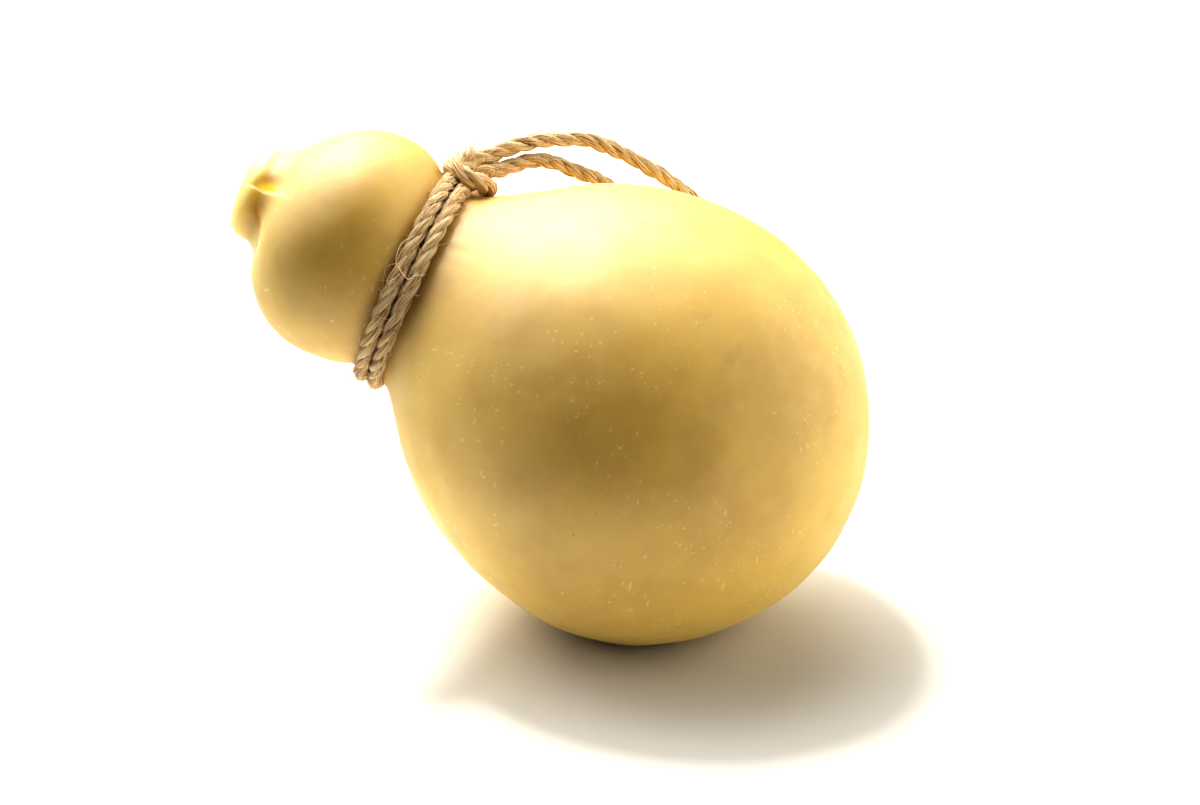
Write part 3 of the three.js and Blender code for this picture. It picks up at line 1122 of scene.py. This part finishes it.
# Fibres, and thicker hairs after them, as one mesh of thin tubes
def make_fibres(name, curves, hairs, material):
    radii = [FIBRE_RADIUS] * len(curves) + [HAIR_RADIUS] * len(hairs)
    points, faces = [], []
    for curve, radius in zip(curves + hairs, radii):
        tube = fibre_tube(curve, radius)
        faces += tube_faces(sum(len(block) for block in points), len(curve), FIBRE_SIDES)
        points.append(tube.reshape(-1, 3))
    return mesh_object(name, np.concatenate(points), faces, material)


# Camera: the photograph's, a long lens a little above the cheese
CAMERA_AZIMUTH = 12.73
CAMERA_ELEVATION = 22
CAMERA_DISTANCE = 889
CAMERA_LENS = 80
CAMERA_NEAR = 10
AIM_RIGHT = -14.9
AIM_UP = 5.73


def camera_axes():
    azimuth, elevation = math.radians(CAMERA_AZIMUTH), math.radians(CAMERA_ELEVATION)
    right = Vector((math.cos(azimuth), math.sin(azimuth), 0))
    back = Vector((
        math.sin(azimuth) * math.cos(elevation),
        -math.cos(azimuth) * math.cos(elevation),
        math.sin(elevation),
    ))
    return right, back.cross(right), back


def make_camera():
    right, up, back = camera_axes()
    aim = Vector(BELLY_CENTRE) + AIM_RIGHT * right + AIM_UP * up
    data = bpy.data.cameras.new("camera")
    data.lens = CAMERA_LENS
    data.clip_start = CAMERA_NEAR * MM
    camera = bpy.data.objects.new("camera", data)
    turn = Matrix((right, up, back)).transposed().to_4x4()
    camera.matrix_world = Matrix.Translation((aim + CAMERA_DISTANCE * back) * MM) @ turn
    bpy.context.scene.collection.objects.link(camera)
    bpy.context.scene.camera = camera


# Floor: how far it goes in metres, less in front, and its matt white
FLOOR_HALF = 3.0
FLOOR_FRONT = 0.27
FLOOR_COLOUR = (0.755, 0.735, 0.69, 1)
FLOOR_ROUGHNESS = 0.9
FLOOR_SHINE = 0.1

# Light: a soft key from behind and above, and panels in a dark room
KEY_FROM = (-0.24, 0.38, 1.0)
KEY_STRENGTH = 1.27
KEY_ANGLE = 6
WHITE = (1.0, 1.0, 1.0, 1)
VIEW_GAMMA = 0.7

# A small light that fills the head's shadow on the floor: where it points,
# and how far away it stands from there, as right, away and up
FLOOR_SPOT = (-116, -33, 0)
FLOOR_LIGHT_STAND = (-200, -440, 330)
FLOOR_LIGHT_POWER = 27
FLOOR_LIGHT_CONE = 12.2
FLOOR_LIGHT_BLEND = 1.0

# Soft panels of the room: direction as right, away and up, where each fades in and is full, its brightness
PANELS = [
    ((-0.25, 0.65, 1.0), (0.7, 0.95), 3.0),
    ((-0.85, 0.5, 0.8), (0.6, 0.95), 1.5),
    ((-0.75, 0.25, 0.75), (0.7, 0.9), 0.6),
    ((1.0, 0.15, 0.1), (0.4, 0.95), 1.85),
]

# A wide fill light from the front right that the gloss doesn't show
FILL_FROM = (0.85, -0.5, 0.1)
FILL_ANGLE = 90
FILL_STRENGTH = 1.05

# A broad light from above that only the gloss shows
GLEAM_FROM = (0.0, 0.6, 1.0)
GLEAM_ANGLE = 90
GLEAM_STRENGTH = 0.8


# An offset given as right, away and up, seen from the camera
def camera_offset(offset):
    right, _, back = camera_axes()
    away = Vector((-back.x, -back.y, 0)).normalized()
    return offset[0] * right + offset[1] * away + offset[2] * Vector((0, 0, 1))


# The same as a direction
def from_camera(direction):
    return camera_offset(direction).normalized()


def make_floor():
    material, nodes = new_material("floor")
    shader = nodes.add("ShaderNodeBsdfPrincipled", {
        "Base Color": FLOOR_COLOUR,
        "Roughness": FLOOR_ROUGHNESS,
        "Specular IOR Level": FLOOR_SHINE,
    })
    nodes.add("ShaderNodeOutputMaterial", {"Surface": shader.outputs[0]})
    mesh = bpy.data.meshes.new("floor")
    corners = [(-FLOOR_HALF, -FLOOR_FRONT, 0), (FLOOR_HALF, -FLOOR_FRONT, 0)]
    corners += [(FLOOR_HALF, FLOOR_HALF, 0), (-FLOOR_HALF, FLOOR_HALF, 0)]
    mesh.from_pydata(corners, [], [(0, 1, 2, 3)])
    mesh.materials.append(material)
    floor = bpy.data.objects.new("floor", mesh)
    bpy.context.scene.collection.objects.link(floor)


# A light from far away
def make_sun(name, direction, angle, strength):
    light = bpy.data.lights.new(name, "SUN")
    light.energy = strength
    light.angle = math.radians(angle)
    lamp = bpy.data.objects.new(name, light)
    lamp.rotation_euler = from_camera(direction).to_track_quat("Z", "Y").to_euler()
    bpy.context.scene.collection.objects.link(lamp)
    return lamp


def make_floor_light():
    light = bpy.data.lights.new("floor_light", "SPOT")
    light.energy = FLOOR_LIGHT_POWER
    light.spot_size = math.radians(FLOOR_LIGHT_CONE)
    light.spot_blend = FLOOR_LIGHT_BLEND
    lamp = bpy.data.objects.new("floor_light", light)
    stand = camera_offset(FLOOR_LIGHT_STAND)
    lamp.location = (camera_offset(FLOOR_SPOT) + stand) * MM
    lamp.rotation_euler = stand.to_track_quat("Z", "Y").to_euler()
    bpy.context.scene.collection.objects.link(lamp)


# How far the world's own direction faces the given one, from -1 to 1
def facing(nodes, direction):
    own = nodes.add("ShaderNodeTexCoord").outputs["Generated"]
    inputs = {0: own, 1: from_camera(direction)}
    return nodes.add("ShaderNodeVectorMath", inputs, operation="DOT_PRODUCT").outputs["Value"]


def make_room():
    world = bpy.data.worlds.new("room")
    world.use_nodes = True
    nodes = Nodes(world.node_tree)
    strength = 0.0
    for direction, edge, brightness in PANELS:
        panel = nodes.ramp(facing(nodes, direction), *edge, 0.0, brightness)
        strength = nodes.math("ADD", panel, strength)
    light = nodes.add("ShaderNodeBackground", {"Color": WHITE, "Strength": strength})
    seen = nodes.add("ShaderNodeBackground", {"Color": WHITE, "Strength": 1.0})
    path = nodes.add("ShaderNodeLightPath")
    both = nodes.add(
        "ShaderNodeMixShader", {0: path.outputs["Is Camera Ray"], 1: light.outputs[0], 2: seen.outputs[0]}
    )
    nodes.add("ShaderNodeOutputWorld", {"Surface": both.outputs[0]})
    bpy.context.scene.world = world


def make_cords():
    rope = make_rope()
    hemp = cord_material()
    loose = fibre_material()
    loop_steps = np.arange(rope.loop_end + 1)
    neck_steps = np.arange(rope.loop_end, len(rope.line) + 1)
    loop = make_cord("hanging_cord", rope, loop_steps, hemp)
    neck = make_cord("neck_cord", rope, neck_steps, hemp)
    loop_curves = fibre_curves(rope, loop_steps, LOOP_FIBRES, LOOP_FIBRE_SEED)
    loop_fibres = make_fibres("loop_fibres", loop_curves, [], loose)
    neck_curves = fibre_curves(rope, neck_steps, NECK_FIBRES, NECK_FIBRE_SEED) + tuft_curves()
    hairs = [smoothed(knot_points(hair)) for hair in LOOSE_HAIRS]
    neck_fibres = make_fibres("neck_fibres", neck_curves, hairs, loose)
    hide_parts("hanging_loop")
    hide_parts("neck_turn_head_side", "neck_turn_belly_side", "hitch_knot")
    return [loop, neck, loop_fibres, neck_fibres]


make_camera()
cheese = make_cheese()
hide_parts("cheese")
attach(cheese, "root")
for cord in make_cords():
    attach(cord, "root")
make_floor()
make_sun("key", KEY_FROM, KEY_ANGLE, KEY_STRENGTH)
make_sun("fill", FILL_FROM, FILL_ANGLE, FILL_STRENGTH).visible_glossy = False
make_sun("gleam", GLEAM_FROM, GLEAM_ANGLE, GLEAM_STRENGTH).visible_diffuse = False
make_floor_light()
make_room()
bpy.context.scene.view_settings.view_transform = "Standard"
bpy.context.scene.view_settings.gamma = VIEW_GAMMA
